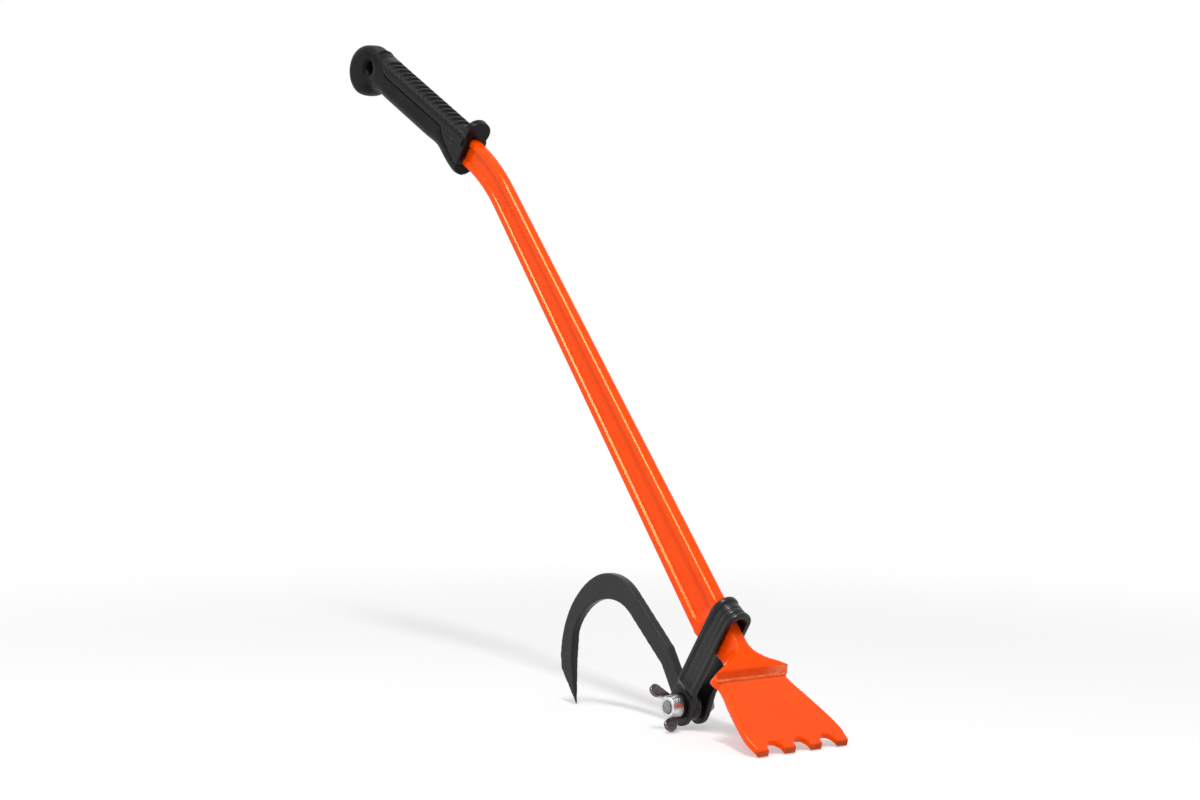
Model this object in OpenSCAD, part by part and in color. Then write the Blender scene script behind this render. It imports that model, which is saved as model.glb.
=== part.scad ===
// Felling lever: a forged steel bar with a toothed blade, a moulded grip, and a turning hook
// that hangs from a strap sliding on the shaft. It stands on its teeth and its hook tip, as in use
// on flat ground. Millimetres and degrees, +Z up, +Y to the lever's left, the blade toward +X.

/* [Stance] */
// Lean of the shaft from the vertical when the lever stands
lean = 40; // [30:1:50]

/* [Shaft] */
// Length of the shaft's axis from the foot of the blade step to the corner of the handle bend
shaft_len = 513; // [350:1:900]
// Depth of the shaft, front to back, at the blade step
shaft_depth_low = 39; // [34:0.5:50]
// Depth of the shaft at the handle bend
shaft_depth_high = 25.5; // [22:0.5:32]
// Width of the flanges at the blade step
flange_w_low = 12.4; // [9:0.1:13]
// Width of the flanges at the handle bend
flange_w_high = 8.6; // [7.6:0.1:12]
// Thickness of each flange, along the depth
flange_t = 6; // [4:0.5:9]
// Thickness of the web between the flanges
web_t = 5.4; // [4:0.2:7]
// Distance from the blade step to the lower end of the web recess
web_start = 76; // [60:1:120]
// Angle of the handle bend
bend = 22; // [10:1:30]
// Radius of the handle bend, on the shaft's axis
bend_r = 150; // [80:5:200]

/* [Blade] */
// Length of the blade's front face from the step to the tooth tips
blade_len = 73; // [64:1:110]
// Thickness of the blade at the step
blade_t = 8; // [7:0.5:12]
// Thickness of the blade at the tooth tips
tip_t = 5; // [3.5:0.5:6.5]
// Width of the blade at the step
blade_w_root = 65; // [50:1:75]
// Width of the blade at its widest, above the teeth
blade_w_wide = 91; // [80:1:120]
// Width of the blade across the tooth tips
blade_w_tip = 88; // [78:1:118]
// Length over which the blade's sides flare out
flare_len = 60; // [40:1:60]
// Forward tilt of the blade from the line of the shaft
blade_tilt = 14; // [8:1:20]
// Distance from the shaft's axis to the blade's front face at the step
blade_set = 12; // [9:0.5:14]
// Height of the step above the blade's front face
step_h = 6.9; // [4:0.1:9]
// Distance that the step's face slopes back over its height
step_back = 4; // [2:0.1:6]
// Width of the step's lip
lip_w = 69; // [56:1:76]
// Distance from the step up to where the shoulders have narrowed into the shaft
shoulder_len = 21; // [16:1:34]
// Radius of the hollow between the shoulders and the shaft
shoulder_r = 14; // [6:1:24]
// Distance from the step up to where the back of the shaft starts to slope in to the blade
heel_len = 62; // [56:1:90]
// Number of teeth
teeth = 4; // [3:1:6]
// Radius of the round notches between the teeth
notch_r = 7.4; // [4:0.1:8]
// Depth of the notches above the tooth tips
notch_depth = 8.6; // [5:0.1:12]
// Angle by which the tooth tips run out under the blade, off square
tip_bevel = 20; // [0:1:35]

/* [Grip] */
// Distance along the grip from the handle bend's corner to the guard's face
guard_at = 32.5; // [31:0.5:45]
// Distance along the grip from the handle bend's corner to the centre of the pommel
pommel_at = 201.5; // [175:0.5:240]
// Depth of the grip, front to back
grip_depth = 31.5; // [27:0.5:38]
// Width of the grip
grip_w = 27; // [24:0.5:34]
// Radius of the grip's rounded edges
grip_round = 11.5; // [6:0.5:12]
// Distance from the bar's axis in the grip forward to the grip's own centre line
grip_shift = 2.5; // [0:0.5:4]
// Radius of the pommel
pommel_r = 22.5; // [19:0.1:28]
// Thickness of the pommel
pommel_t = 27; // [22:0.5:32]
// Radius of the pommel's rounded rim
pommel_round = 10; // [4:0.5:10.5]
// Drop of the pommel's centre toward the back
pommel_drop = 5.3; // [0:0.1:10]
// Radius of the hang hole
hang_r = 5.5; // [4:0.1:7]
// Distance from the pommel's centre to the hang hole, back along the grip
hang_back = 11; // [10:0.5:16]
// Distance from the bar's axis forward to the hang hole
hang_side = 2; // [-8:0.5:4]
// Width of the countersink round the hang hole
hang_lead = 1.5; // [0.5:0.1:2.5]
// Tilt of the guard, off square to the grip
guard_tilt = 9; // [0:1:12]
// Thickness of the guard
guard_t = 6.5; // [5:0.5:12]
// Radius of the guard's front lobe
guard_front_r = 12; // [10:0.5:16]
// Reach of the guard's front lobe from the bar's axis
guard_front = 29.7; // [26:0.1:36]
// Reach of the guard's back heel from the bar's axis
guard_back = 23.5; // [20:0.5:30]
// Width of the guard beside the bar
guard_w = 20; // [18:0.5:26]
// Length of the guard's back heel along the grip
guard_heel = 12; // [8:1:30]
// Length over which the heel slopes back into the grip
heel_run = 22; // [12:1:40]
// Number of grooves between the finger ribs on the front of the sleeve
ribs = 16; // [8:1:17]
// Distance between grooves
rib_pitch = 7.7; // [6:0.1:8]
// Distance along the grip from the guard's face to the first groove
rib_start = 19.5; // [14:0.5:21]
// Depth of the grooves between ribs
rib_depth = 2.4; // [0.8:0.1:3]
// Radius of the grooves between ribs
groove_r = 2.6; // [2:0.1:3.4]
// Distance from the bar's axis forward to the line where sleeve meets core
seam_front = 7; // [4:0.5:10]
// Climb of that line toward the front, where it ends at the pommel
seam_climb = 8; // [4:0.5:12]
// Length over which it climbs
seam_run = 16; // [8:1:24]
// Depth of the tang inside the grip
tang_depth = 20; // [14:0.5:22]
// Width of the tang inside the grip
tang_w = 7; // [5:0.5:7.4]
// Distance along the grip from the handle bend's corner to the tang's end
tang_end = 160; // [80:1:165]

/* [Link strap] */
// Width of the strap
strap_w = 21.8; // [18:0.1:26]
// Thickness of the strap
strap_t = 5; // [4:0.5:7]
// Offset of the strap's centre line above the pivot
strap_rise = 1; // [0:0.1:3]
// Gap between each arm and the shaft's widest flange at rest
strap_side_gap = 1; // [0.6:0.1:2]
// Distance from the pivot to the centre of the strap's front bend
strap_reach = 88; // [86:0.5:120]
// Tilt of the strap above square to the shaft
strap_tilt = 15; // [12:0.5:17]
// Width of the strap's ends round the pivot
strap_end_w = 27.4; // [26:0.1:32]
// Distance from the pivot to the tip of the strap's ends
strap_tail = 15; // [12:0.5:18]
// Corner radius of the strap's ends
strap_corner = 11; // [4:0.5:12]
// Distance from the pivot to where the strap's ends have narrowed to its width
end_blend = 18; // [10:1:30]
// Distance from the pivot to where the arm under the nut steps outward
step_from = 14.5; // [13:0.5:30]
// Length of that arm's outward step
step_run = 5; // [3:0.5:12]
// Inward set of that arm's end below the step
step_in = 2.5; // [0.5:0.1:3]
// Width of the shallow hollow along the strap's outside
hollow_w = 14; // [6:0.5:16]
// Depth of the hollow along the strap's outside
hollow_d = 0.9; // [0.3:0.1:1.5]

/* [Hook] */
// Thickness of the hook
hook_t = 7; // [5:0.5:9]
// Outer radius of the hook's eye
eye_r = 12.5; // [11:0.5:16]
// Width of the hook's neck next to the eye
neck_w = 16.5; // [14:0.5:20]
// Width of the hook's shank
shank_w = 16; // [14:0.5:20]
// Distance from the pivot to the shank's kink
kink_at = 41; // [34:1:50]
// Slope of the kink across the shank
kink_slope = 10; // [0:1:20]
// Offset of the shank's centre line from the pivot, past the kink
kink_rise = 9.3; // [6:0.1:12]
// Distance from the pivot to the start of the hook's outer curve
curve_at = 103.5; // [94:0.5:130]
// Outer radius of the first, tighter curve
crown_r = 46.5; // [40:0.5:52]
// Turn of the first curve
crown_turn = 69; // [60:1:80]
// Outer radius of the second curve, toward the tip
sweep_r = 80; // [70:0.5:90]
// Turn of the second curve
sweep_turn = 60; // [52:1:66]
// Inner radius of the first curve
throat_r = 36; // [28:0.5:38]
// Turn of the first curve inside
throat_turn = 35; // [25:1:50]
// Inner radius of the second curve
belly_r = 53.5; // [48:0.5:60]
// Turn of the second curve inside
belly_turn = 72; // [60:1:80]
// Distance from the start of the outer curve back to the start of the inner one
throat_back = 9.5; // [4:0.5:14]
// Width of the hook where its point begins
point_w = 15; // [13:0.5:18]
// Length of the point inside, from its notch to its tip
point_len = 38; // [30:1:46]
// Turn of the point's inner edge past the end of the curves
point_turn = 6; // [0:1:10]
// Length of the point's straight outer edge above its bevel
point_edge = 11; // [4:1:16]
// Thickness of the point at its tip
point_t = 1.6; // [1:0.1:4]

/* [Pivot] */
// Diameter of the pivot bolt
bolt_d = 10; // [8:0.5:12]
// Distance from the shaft's axis back to the pivot
pivot_back = 65.5; // [60:0.5:90]
// Height of the pivot above the blade step, along the shaft
pivot_up = 26; // [20:0.5:60]
// Width across the flats of the bolt's head
head_af = 16; // [14:0.5:19]
// Height of the bolt's head
head_h = 6.4; // [5:0.1:8]
// Length of bolt standing past the wing nut
bolt_proud = 1; // [0.5:0.1:4]
// Outer diameter of the washer
washer_d = 20; // [17:0.5:26]
// Thickness of the washer
washer_t = 2; // [1:0.1:3]
// Diameter of the wing nut's base
nut_base_d = 19.5; // [17:0.5:24]
// Diameter of the wing nut's top
nut_top_d = 16; // [14:0.5:18]
// Height of the wing nut's hub
nut_h = 9; // [7:0.5:12]
// Radius of the wings' round ends
wing_r = 5.3; // [4:0.1:8]
// Distance from the bolt's axis to the middle of each wing's end
wing_reach = 15.2; // [14:0.1:24]
// Height of the middle of each wing's end above the nut's base
wing_rise = 13; // [10:0.1:20]
// Thickness of the wings
wing_t = 3; // [2:0.1:5]
// Height of the wings' foot above the nut's base
wing_foot = 1; // [0.5:0.1:3]
// Slope of the wings as they rise from the hub
wing_slope = 45; // [35:1:55]
// Turn of the wings from the level, at rest
wing_turn = 54; // [0:1:90]

/* [Clearances] */
// Radial clearance of the bolt in the strap, the hook, the washer and the nut
bore_fit = 0.08; // [0.02:0.01:0.1]
// Gap between faces that turn on each other
face_gap = 0.3; // [0.1:0.05:0.5]

/* [Hidden] */
$fn = 96;
// Overlap of solids that are joined, and overrun of cuts
join = 0.5;
over = 60;
paint = "orangered";
black = [0.17, 0.17, 0.18];
grip_black = [0.12, 0.12, 0.13];
zinc = [0.80, 0.82, 0.84];

// The shaft's half depth and half width at a height s above the step
function between(a, b, t) = a + (b - a) * t;
function half_depth(s) = between(shaft_depth_low, shaft_depth_high, s / shaft_len) / 2;
function half_width(s) = between(flange_w_low, flange_w_high, s / shaft_len) / 2;
// A smooth rise from 0 to 1 as t goes from 0 to 1
function ease(t) = (1 - cos(180 * min(1, max(0, t)))) / 2;
// Points on an arc about c, as radius r goes from angle a to angle b
function arc(c, r, a, b, steps) = [for (i = [0:steps]) let (q = a + (b - a) * i / steps) c + r * [cos(q), sin(q)]];
function turned(v, a) = [v.x * cos(a) - v.y * sin(a), v.x * sin(a) + v.y * cos(a)];

bend_start = shaft_len - bend_r * tan(bend / 2);
bend_steps = 8;
bend_centre = [-bend_r, bend_start];

// Bottom of the lowest tooth corner, which stands on the ground
tip_point = turned([-tip_t, -(blade_len + tip_t * tan(tip_bevel))], blade_tilt) + [blade_set, 0];
ground = tip_point.x * sin(lean) + tip_point.y * cos(lean);

// The lever's extent along X, which puts the origin under the middle of it
pommel_centre = turned([-pommel_drop, pommel_at], bend) + [0, shaft_len];
front_tip = turned([0, -blade_len], blade_tilt) + [blade_set, 0];
front_x = front_tip.x * cos(lean) - front_tip.y * sin(lean);
back_x = pommel_centre.x * cos(lean) - pommel_centre.y * sin(lean) - pommel_r;
middle_x = (front_x + back_x) / 2;

lip = turned([step_h, step_back], blade_tilt) + [blade_set, 0];
back_foot = turned([-blade_t, 0], blade_tilt) + [blade_set, 0];
// Slope of the shoulders, off the line of the shaft, and the arc that joins them to it
shoulder_slope = atan((lip_w / 2 - half_width(shoulder_len)) / (shoulder_len - lip.y));
hollow = shoulder_r * tan(shoulder_slope / 2);
hollow_centre = [half_width(shoulder_len) + shoulder_r, shoulder_len + hollow];

// The strap's loop, from the shaft's widest flange and the hook's eye
loop_in = flange_w_low / 2 + strap_side_gap;
loop_out = loop_in + strap_t;
washer_at = loop_out - step_in + face_gap;
nut_at = washer_at + washer_t + face_gap;
nut_top = nut_at + nut_h;

// Sets a piece drawn in the lever's own frame on the ground: X forward from the shaft's axis,
// Z up the shaft from the blade step
module stand() {
    translate([-middle_x, 0, -ground]) rotate([0, -lean, 0]) children();
}

// The grip's frame: Z runs along the grip from the corner of the handle bend
module at_grip() {
    translate([0, 0, shaft_len]) rotate([0, -bend, 0]) children();
}

// The blade's frame: X off its front face, Z up the blade from the step
module at_blade() {
    translate([blade_set, 0, 0]) rotate([0, -blade_tilt, 0]) children();
}

// The pivot's frame
module at_pivot() {
    translate([-pivot_back, 0, pivot_up]) children();
}

// Extrudes an outline drawn in X and Z across Y
module across(w) {
    rotate([90, 0, 0]) linear_extrude(w, center = true) children();
}

// Extrudes an outline drawn in Y and Z along X
module along_x(x0, x1) {
    translate([x0, 0, 0]) rotate([90, 0, 90]) linear_extrude(x1 - x0) children();
}

// Points up the front of the bar and down its back, drawn in by inset, which end past by that much
function side_points(inset, past) = let (top_half = half_depth(shaft_len) - inset) concat(
    arc(bend_centre, bend_r + top_half, 0, bend, bend_steps),
    [for (x = [top_half, -top_half]) turned([x, guard_at + guard_t + past], bend) + [0, shaft_len]],
    arc(bend_centre, bend_r - top_half, bend, 0, bend_steps));

// Side outline of the shaft and its heel, where the back slopes in to the blade
module bar_side() {
    polygon(concat([lip, [half_depth(shoulder_len), shoulder_len]], side_points(0, 0),
        [[-half_depth(heel_len), heel_len], back_foot, [back_foot.x + join, back_foot.y]]));
}

// Side outline of the recess beside the web
module recess_side() {
    low = half_depth(web_start) - flange_t;
    polygon(concat([[low, web_start]], side_points(flange_t, over), [[-low, web_start]]));
    translate([0, web_start]) circle(low);
}

// One half of the front outline, from the lip over the shoulders and up the shaft
function front_half(side) = [for (p = concat([[lip_w / 2, lip.y]],
    arc(hollow_centre, shoulder_r, 180 + shoulder_slope, 180, bend_steps),
    [[half_width(shaft_len), shaft_len], [half_width(shaft_len), shaft_len + over]])) [side * p.x, p.y]];

// Shaft and shoulders, with a recess to be cut along each side
module shaft() {
    right = front_half(1);
    left = front_half(-1);
    intersection() {
        across(lip_w + 2 * join) bar_side();
        along_x(-over - bend_r, over)
            polygon(concat([[-lip_w / 2, -over], [lip_w / 2, -over]], right,
                [for (i = [len(left) - 1:-1:0]) left[i]]));
    }
}

module web_recess() {
    for (side = [-1, 1])
        translate([0, side * (web_t / 2 + over / 2), 0]) across(over) recess_side();
}

// The bar's I section with the tang of plain section that runs on inside the grip
module beam() {
    difference() {
        shaft();
        web_recess();
    }
    at_grip() translate([-tang_depth / 2, -tang_w / 2, guard_at])
        cube([tang_depth, tang_w, tang_end - guard_at]);
}

function blade_half(d) = d < flare_len
    ? between(blade_w_root, blade_w_wide, (ease(d / flare_len) + d / flare_len) / 2) / 2
    : between(blade_w_wide, blade_w_tip, ease((d - flare_len) / (blade_len - flare_len))) / 2;

// Side outline of the blade and its step, thinner toward the teeth
module blade_side() {
    polygon([[0, 0], [step_h, step_back], [step_h, step_back + join], [-blade_t, step_back + join],
        [-blade_t, 0], [-tip_t, -blade_len - tip_t * tan(tip_bevel)], [0, -blade_len]]);
}

// Half outline of the blade from the front, on one side
blade_rows = 16;
function blade_edge(side) = [for (i = [0:blade_rows])
    let (d = blade_len * i / blade_rows) [side * blade_half(d), -d]];
// The blade, its step and its notched teeth
module blade() {
    run_out = tip_t * tan(tip_bevel) + join;
    left = blade_edge(-1);
    pitch = (blade_w_tip + 2 * notch_r) / teeth;
    at_blade() difference() {
        intersection() {
            across(2 * blade_w_wide) blade_side();
            along_x(-over, over) polygon(concat(
                [[-lip_w / 2, step_back + join], [lip_w / 2, step_back + join], [lip_w / 2, 0]],
                blade_edge(1), [[blade_w_tip / 2, -blade_len - run_out], [-blade_w_tip / 2, -blade_len - run_out]],
                [for (i = [blade_rows:-1:0]) left[i]], [[-lip_w / 2, 0]]));
        }
        for (i = [1:teeth - 1])
            translate([0, -blade_w_tip / 2 - notch_r + i * pitch, -blade_len + notch_depth - notch_r])
                rotate([0, 90, 0]) {
                    cylinder(r = notch_r, h = over, center = true);
                    translate([notch_r, 0, 0]) cube([2 * notch_r, 2 * notch_r, over], center = true);
                }
    }
}

module bar() {
    color(paint) stand() {
        beam();
        blade();
    }
}

// Rounded rectangle, depth along X and width along Y
module grip_section(depth, w, r) {
    for (x = [-1, 1], y = [-1, 1]) translate([x * (depth / 2 - r), y * (w / 2 - r)]) circle(r);
    square([depth, w - 2 * r], center = true);
    square([depth - 2 * r, w], center = true);
}

// Outer shape of the whole grip, in its own frame
module grip_body() {
    difference() {
        translate([grip_shift, 0, guard_at]) linear_extrude(pommel_at - pommel_r / 2 - guard_at)
            grip_section(grip_depth, grip_w, grip_round);
        at_guard() translate([-over, -over, -2 * over]) cube(2 * over);
        for (side = [-1, 1]) along_x(-over, guard_front - 2 * guard_front_r) polygon([
            [side * (guard_w / 2 - join), guard_at], [side * grip_w / 2, guard_at + heel_run],
            [side * over, guard_at + heel_run], [side * over, -over], [side * (guard_w / 2 - join), -over]]);
    }
    pommel();
    guard();
}

// The guard's frame, with its face at Z = 0
module at_guard() {
    translate([0, 0, guard_at]) rotate([0, guard_tilt, 0]) children();
}

// Round pommel with a rounded rim
module pommel() {
    flat = pommel_t / 2 - pommel_round;
    translate([-pommel_drop, 0, pommel_at]) rotate([90, 0, 0]) rotate_extrude() {
        square([pommel_r - pommel_round, pommel_t / 2]);
        translate([0, -pommel_t / 2]) square([pommel_r - pommel_round, pommel_t / 2]);
        translate([0, -flat]) square([pommel_r, 2 * flat]);
        for (y = [-flat, flat]) intersection() {
            translate([pommel_r - pommel_round, y]) circle(pommel_round);
            translate([0, -pommel_t]) square([pommel_r, 2 * pommel_t]);
        }
    }
}

// Guard with a lobe in front and a heel behind, which slopes back into the grip above it
module guard() {
    heel_r = guard_w / 2;
    heel_x = heel_r - guard_back;
    at_guard() linear_extrude(guard_t) {
        translate([guard_front - guard_front_r, 0]) circle(guard_front_r);
        translate([heel_x, 0]) circle(heel_r);
        translate([heel_x, -heel_r]) square([guard_front - guard_front_r - heel_x, guard_w]);
    }
    intersection() {
        translate([heel_x, 0, guard_at]) linear_extrude(guard_heel + heel_run) circle(heel_r);
        across(guard_w + join) polygon([
            [-guard_back - join, guard_at + guard_t], [0, guard_at + guard_t],
            [0, guard_at + guard_heel + heel_run],
            [grip_shift - grip_depth / 2 + join, guard_at + guard_heel + heel_run],
            [-guard_back - join, guard_at + guard_heel]]);
    }
}

// Side outline of the soft sleeve: the front of the grip and its guard, down to the seam
module sleeve_side() {
    top = pommel_at - pommel_r;
    heel_top = guard_at + guard_heel + heel_run;
    foot = 2 * join + guard_w / 2 - guard_back;
    polygon([[over, -over], [over, top], [seam_front + seam_climb, top],
        [seam_front, top - seam_run], [seam_front, heel_top], [foot, guard_at + guard_t],
        [foot, -over]]);
}

module rib_grooves() {
    for (i = [0:ribs - 1])
        translate([grip_shift + grip_depth / 2 + groove_r - rib_depth, 0, guard_at + rib_start + i * rib_pitch])
            rotate([90, 0, 0]) cylinder(r = groove_r, h = 2 * grip_w, center = true, $fn = 32);
}

module hang_hole() {
    translate([hang_side, 0, pommel_at - hang_back]) rotate([90, 0, 0]) {
        cylinder(r = hang_r, h = 2 * pommel_t, center = true);
        for (side = [0, 180]) rotate([side, 0, 0])
            translate([0, 0, pommel_t / 2 - hang_lead])
                cylinder(r1 = hang_r, r2 = hang_r + 2 * hang_lead, h = 2 * hang_lead);
    }
}

// Hard core of the grip, with the pommel and the back of the guard
module grip_core() {
    color(grip_black) stand() difference() {
        at_grip() difference() {
            grip_body();
            across(2 * over) sleeve_side();
            hang_hole();
        }
        beam();
    }
}

// Soft ribbed sleeve moulded on the front of the core
module grip_sleeve() {
    color(grip_black) stand() difference() {
        at_grip() difference() {
            intersection() {
                grip_body();
                across(2 * over) sleeve_side();
            }
            rib_grooves();
        }
        beam();
    }
}

// Outline of the strap's loop seen along its width, with arms that stand half away from the middle
module strap_path(half, end) {
    step_to = step_from + step_run;
    translate([strap_reach, 0]) circle(half);
    polygon([
        [-strap_tail - end, step_in - half], [step_from, step_in - half], [step_to, -half],
        [strap_reach, -half], [strap_reach, half], [-strap_tail - end, half]]);
}

// Side outline of the strap, with wider round ends
module strap_side() {
    low = strap_rise - strap_w / 2;
    high = strap_rise + strap_w / 2;
    end = strap_end_w / 2;
    for (z = [-1, 1])
        translate([strap_corner - strap_tail, z * (end - strap_corner)]) circle(strap_corner);
    translate([-strap_tail, strap_corner - end]) square([strap_tail, 2 * (end - strap_corner)]);
    polygon([[strap_corner - strap_tail, -end], [0, -end], [end_blend, low], [2 * strap_reach, low],
        [2 * strap_reach, high], [end_blend, high], [0, end], [strap_corner - strap_tail, end]]);
}

// Strap bent into a loop round the shaft, with a shallow hollow along its outside
module link_strap() {
    color(black) stand() at_pivot() rotate([0, -strap_tilt, 0]) difference() {
        intersection() {
            across(4 * loop_out) strap_side();
            linear_extrude(2 * strap_end_w, center = true) difference() {
                strap_path(loop_out, 0);
                strap_path(loop_in, over);
            }
        }
        translate([0, 0, strap_rise]) linear_extrude(hollow_w, center = true) difference() {
            translate([step_from + step_run, -over]) square([2 * strap_reach, 2 * over]);
            strap_path(loop_out - hollow_d, 0);
        }
        rotate([90, 0, 0]) cylinder(r = bolt_d / 2 + bore_fit, h = 4 * loop_out, center = true);
    }
}

// Outline of the hook, with X along its shank from the pivot and Y toward its outer side
shank_top = kink_rise + shank_w / 2;
shank_base = kink_rise - shank_w / 2;
crown_centre = [curve_at, shank_top - crown_r];
sweep_dir = 90 - crown_turn;
sweep_centre = crown_centre - (sweep_r - crown_r) * [cos(sweep_dir), sin(sweep_dir)];
point_dir = sweep_dir - sweep_turn;
throat_centre = [curve_at - throat_back, shank_base - throat_r];
belly_dir = 90 - throat_turn;
belly_centre = throat_centre - (belly_r - throat_r) * [cos(belly_dir), sin(belly_dir)];
point_run = [sin(point_dir - point_turn), -cos(point_dir - point_turn)];
sweep_end = sweep_centre + sweep_r * [cos(point_dir), sin(point_dir)];
notch_at = sweep_end - point_w * [cos(point_dir), sin(point_dir)];
hook_tip = notch_at + point_len * point_run;
module hook_side() {
    steps = 18;
    polygon(concat(
        [[0, neck_w - eye_r], [kink_at + shank_top * tan(kink_slope), shank_top]],
        arc(crown_centre, crown_r, 90, sweep_dir, steps),
        arc(sweep_centre, sweep_r, sweep_dir, point_dir, steps),
        [sweep_end + point_edge * turned(point_run, point_turn / 2), hook_tip, notch_at],
        arc(belly_centre, belly_r, belly_dir - belly_turn, belly_dir, steps),
        arc(throat_centre, throat_r, belly_dir, 90, steps),
        [[kink_at, shank_base], [0, join - eye_r], [join - eye_r, 0]]));
}

// The turning hook: a flat bar with an eye and a ground point
module hook() {
    color(black) stand() at_pivot() rotate([0, hook_rest + lean, 0]) mirror([1, 0, 0]) difference() {
        union() {
            across(hook_t) hook_side();
            rotate([90, 0, 0]) cylinder(r = eye_r, h = hook_t, center = true);
        }
        rotate([90, 0, 0]) cylinder(r = bolt_d / 2 + bore_fit, h = 2 * hook_t, center = true);
        for (side = [-1, 1]) translate([notch_at.x, 0, notch_at.y])
            rotate([0, point_turn - point_dir, 0]) along_x(-point_w, 2 * point_w) polygon([
                [side * (hook_t / 2 + join), join * 2 * point_len / (hook_t - point_t)],
                [side * (point_t / 2 - join), -point_len - join * 2 * point_len / (hook_t - point_t)],
                [side * hook_t, -2 * point_len], [side * hook_t, point_len]]);
    }
}

// Angle of the shank above the ground at rest, with the hook's tip on the ground
pivot_z = pivot_up * cos(lean) - pivot_back * sin(lean) - ground;
hook_rest = atan2(-hook_tip.y, hook_tip.x) - asin(pivot_z / norm(hook_tip));

// Hexagon-headed bolt that the strap and the hook turn on
module pivot_bolt() {
    color(zinc) stand() at_pivot() rotate([90, 0, 0]) {
        translate([0, 0, -loop_out - face_gap - head_h])
            cylinder(d = head_af / cos(30), h = head_h, $fn = 6);
        translate([0, 0, -loop_out - face_gap - join])
            cylinder(d = bolt_d, h = loop_out + face_gap + join + nut_top + bolt_proud);
    }
}

module washer() {
    color(black) stand() at_pivot() rotate([90, 0, 0]) translate([0, 0, washer_at]) difference() {
        cylinder(d = washer_d, h = washer_t);
        cylinder(r = bolt_d / 2 + bore_fit, h = 3 * washer_t, center = true);
    }
}

// Wing nut, drawn with its bore along Z and its base at the bottom
module wing_nut() {
    color(zinc) stand() at_pivot() rotate([90, 0, 0]) translate([0, 0, nut_at])
        rotate([0, 0, -wing_turn - lean]) difference() {
            union() {
                cylinder(d1 = nut_base_d, d2 = nut_top_d, h = nut_h);
                for (side = [0, 180]) rotate([0, 0, side]) rotate([90, 0, 0])
                    linear_extrude(wing_t, center = true) wing_side();
            }
            cylinder(r = bolt_d / 2 + bore_fit, h = 4 * nut_h, center = true);
        }
}

// One wing, in reach and height: a stem that rises to a round end
module wing_side() {
    root_x = (bolt_d + nut_top_d) / 4;
    wing_end = [wing_reach, wing_rise];
    half_stem = turned([0, wing_r - join / 2], wing_slope);
    polygon([[root_x, wing_foot], [nut_base_d / 2 - join, wing_foot], wing_end - half_stem,
        wing_end + half_stem, [root_x, nut_h - wing_foot]]);
    translate(wing_end) circle(wing_r);
}

bar();
grip_core();
grip_sleeve();
link_strap();
hook();
pivot_bolt();
washer();
wing_nut();
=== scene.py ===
"""Looks of the felling lever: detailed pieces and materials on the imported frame.

Lengths are in metres. Each visible piece takes the place of one CAD node.
"""
import math
import bmesh
import bpy
import numpy as np
from mathutils import Matrix, Vector

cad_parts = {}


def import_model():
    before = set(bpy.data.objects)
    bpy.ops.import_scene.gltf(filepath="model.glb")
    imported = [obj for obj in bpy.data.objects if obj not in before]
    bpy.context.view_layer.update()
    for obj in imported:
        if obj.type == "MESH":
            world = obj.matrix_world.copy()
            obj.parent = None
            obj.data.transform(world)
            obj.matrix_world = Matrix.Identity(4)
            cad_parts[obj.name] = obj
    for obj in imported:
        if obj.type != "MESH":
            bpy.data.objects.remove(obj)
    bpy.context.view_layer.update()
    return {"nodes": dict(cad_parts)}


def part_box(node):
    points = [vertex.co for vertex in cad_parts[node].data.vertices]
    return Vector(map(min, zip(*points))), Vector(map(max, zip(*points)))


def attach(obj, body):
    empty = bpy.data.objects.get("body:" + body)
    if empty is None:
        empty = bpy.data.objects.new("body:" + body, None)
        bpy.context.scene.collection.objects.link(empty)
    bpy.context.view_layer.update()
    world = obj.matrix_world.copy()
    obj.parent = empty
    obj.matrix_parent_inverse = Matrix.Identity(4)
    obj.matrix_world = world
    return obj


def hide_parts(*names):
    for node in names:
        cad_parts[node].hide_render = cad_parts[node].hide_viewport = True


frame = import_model()
scene = bpy.context.scene

# Stance, as in the part's source
LEAN = math.radians(40)
STRAP_TILT = math.radians(15)
BEND = math.radians(22)
BLADE_TILT = math.radians(14)
MIDDLE = Vector((-0.2322007, 0, -0.0403096))

# Shaft, by distance up it: an I section, slimmer toward the bend
SHAFT_LEN = 0.513
SHAFT_DEPTH = (0.039, 0.0255)
TOP_HALF_DEPTH = SHAFT_DEPTH[1] / 2
FRONT_FROM, BACK_FROM = 0.021, 0.062    # where each side's taper starts
FLANGE_W = (0.0124, 0.0086)
FLANGE_T = 0.006
WEB_HALF = 0.0027
WEB_START = 0.072
WEB_EASE = (0.001, 0.008)               # below and above the recess's round end
BEND_R = 0.150
BEND_START = SHAFT_LEN - BEND_R * math.tan(BEND / 2)
BEND_END = BEND_START + BEND_R * BEND

# Shaft's edges: a flat chamfer between two rounds, and sloped walls with rounded corners
EDGE_R = 0.0008
EDGE_ANGLE = math.radians(31)
CHAMFER = 0.0017
FIRST_ROUND_ROWS, SECOND_ROUND_ROWS = 5, 6
WALL_PAST = 0.0006
WALL_ROWS, WEB_ROWS = 12, 6
WALL_SOFT = 0.02

# Shaft's mesh: it takes over from the forging at CUT_AT, and ends inside the guard
CUT_AT = 0.066
TUCK = 0.0007                           # how much slimmer it is below the cut
INTO_ROOT, INTO_GUARD = 0.006, 0.005
FINE_STEP, FINE_TO = 0.0012, 0.100
STRAIGHT_ROWS, BEND_ROWS = 60, 26
JOINT_BAND, JOINT_STEPS = 0.002, 12

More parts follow.
